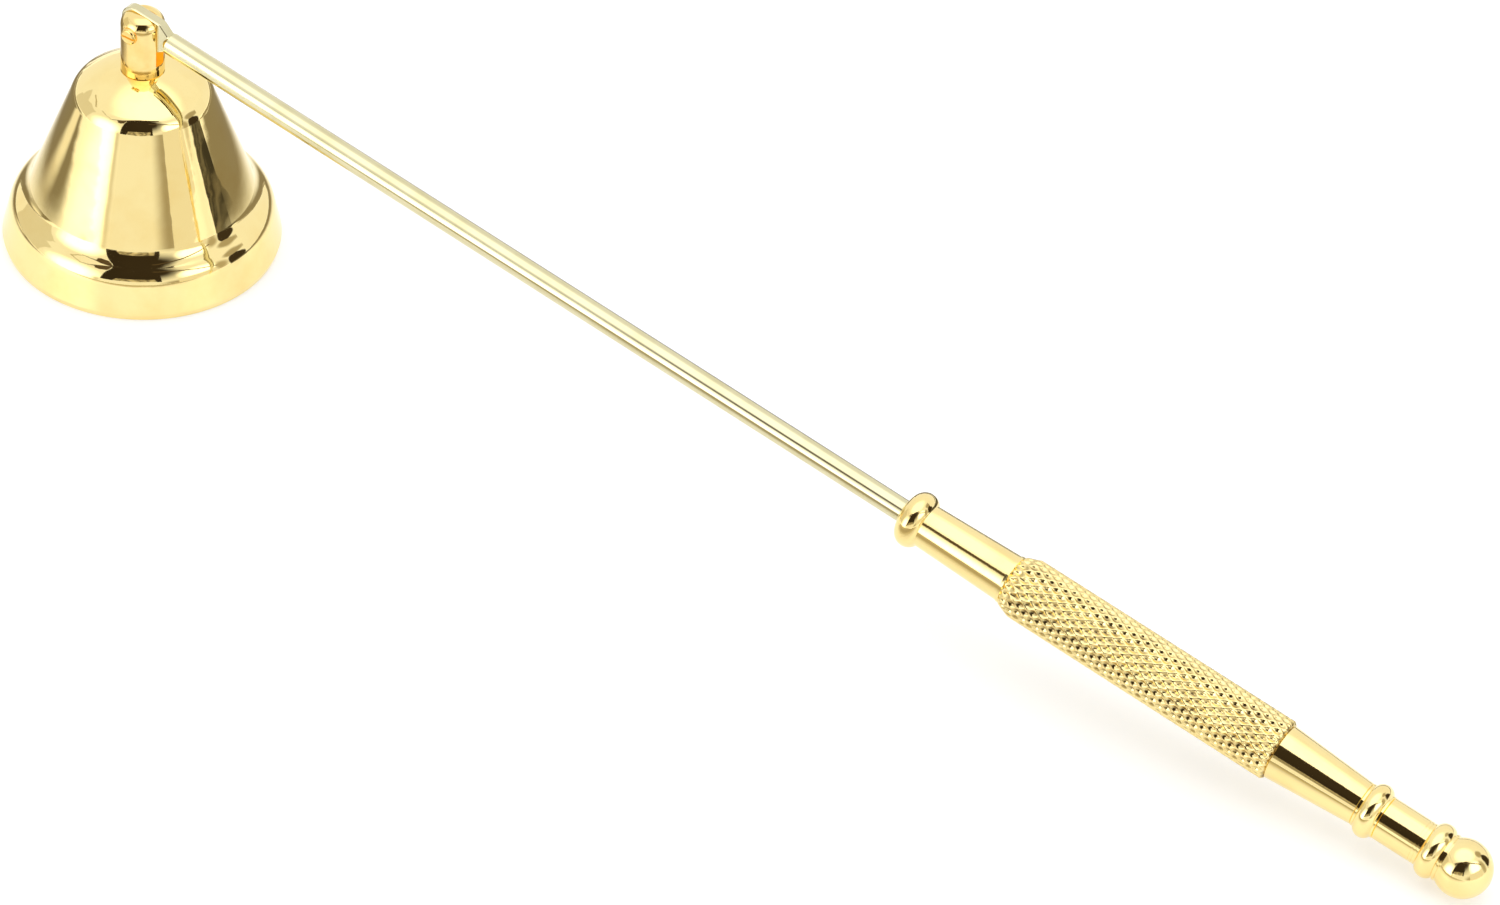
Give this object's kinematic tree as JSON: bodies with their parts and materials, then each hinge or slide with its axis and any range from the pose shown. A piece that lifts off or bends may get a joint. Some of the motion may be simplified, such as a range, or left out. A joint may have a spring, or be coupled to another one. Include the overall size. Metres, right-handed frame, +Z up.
{
  "type": "candle snuffer",
  "caption": "Long-handled candle snuffer: flared bell hinged in a slotted post to a slim rod with a knurled grip and a ball end.",
  "frame": {"origin": "centre of the bell's mouth, in the plane of the rim that the bell stands on", "axes": "+Z up along the bell's axis, +X along the handle away from the bell as seen from above, Y along the hinge pin with its slotted head towards -Y"},
  "size_m": [0.2389, 0.04, 0.0398],
  "materials": {
    "polished_gold": "polished gold-tone, mirror bright",
    "knurled_gold": "diamond knurl, bright gold-tone",
    "fastener_steel": "plain zinc-plated steel"
  },
  "bodies": {
    "bell": {"bell": "polished_gold", "clevis_post": "polished_gold", "bell_washer": "fastener_steel", "bell_screw": "fastener_steel", "hinge_pin": "polished_gold"},
    "handle": {"rod": "polished_gold", "handle_ferrule": "polished_gold", "grip_sleeve": "knurled_gold", "handle_tail": "polished_gold", "tail_bead": "polished_gold", "tail_barrel": "polished_gold", "end_finial": "polished_gold"}
  },
  "joints": [
    {"name": "handle_tilt", "type": "hinge", "parent": "bell", "child": "handle", "pos_m": [0, 0, 0.037], "axis": [0, -1, 0], "range_deg": [-26, 223]}
  ]
}
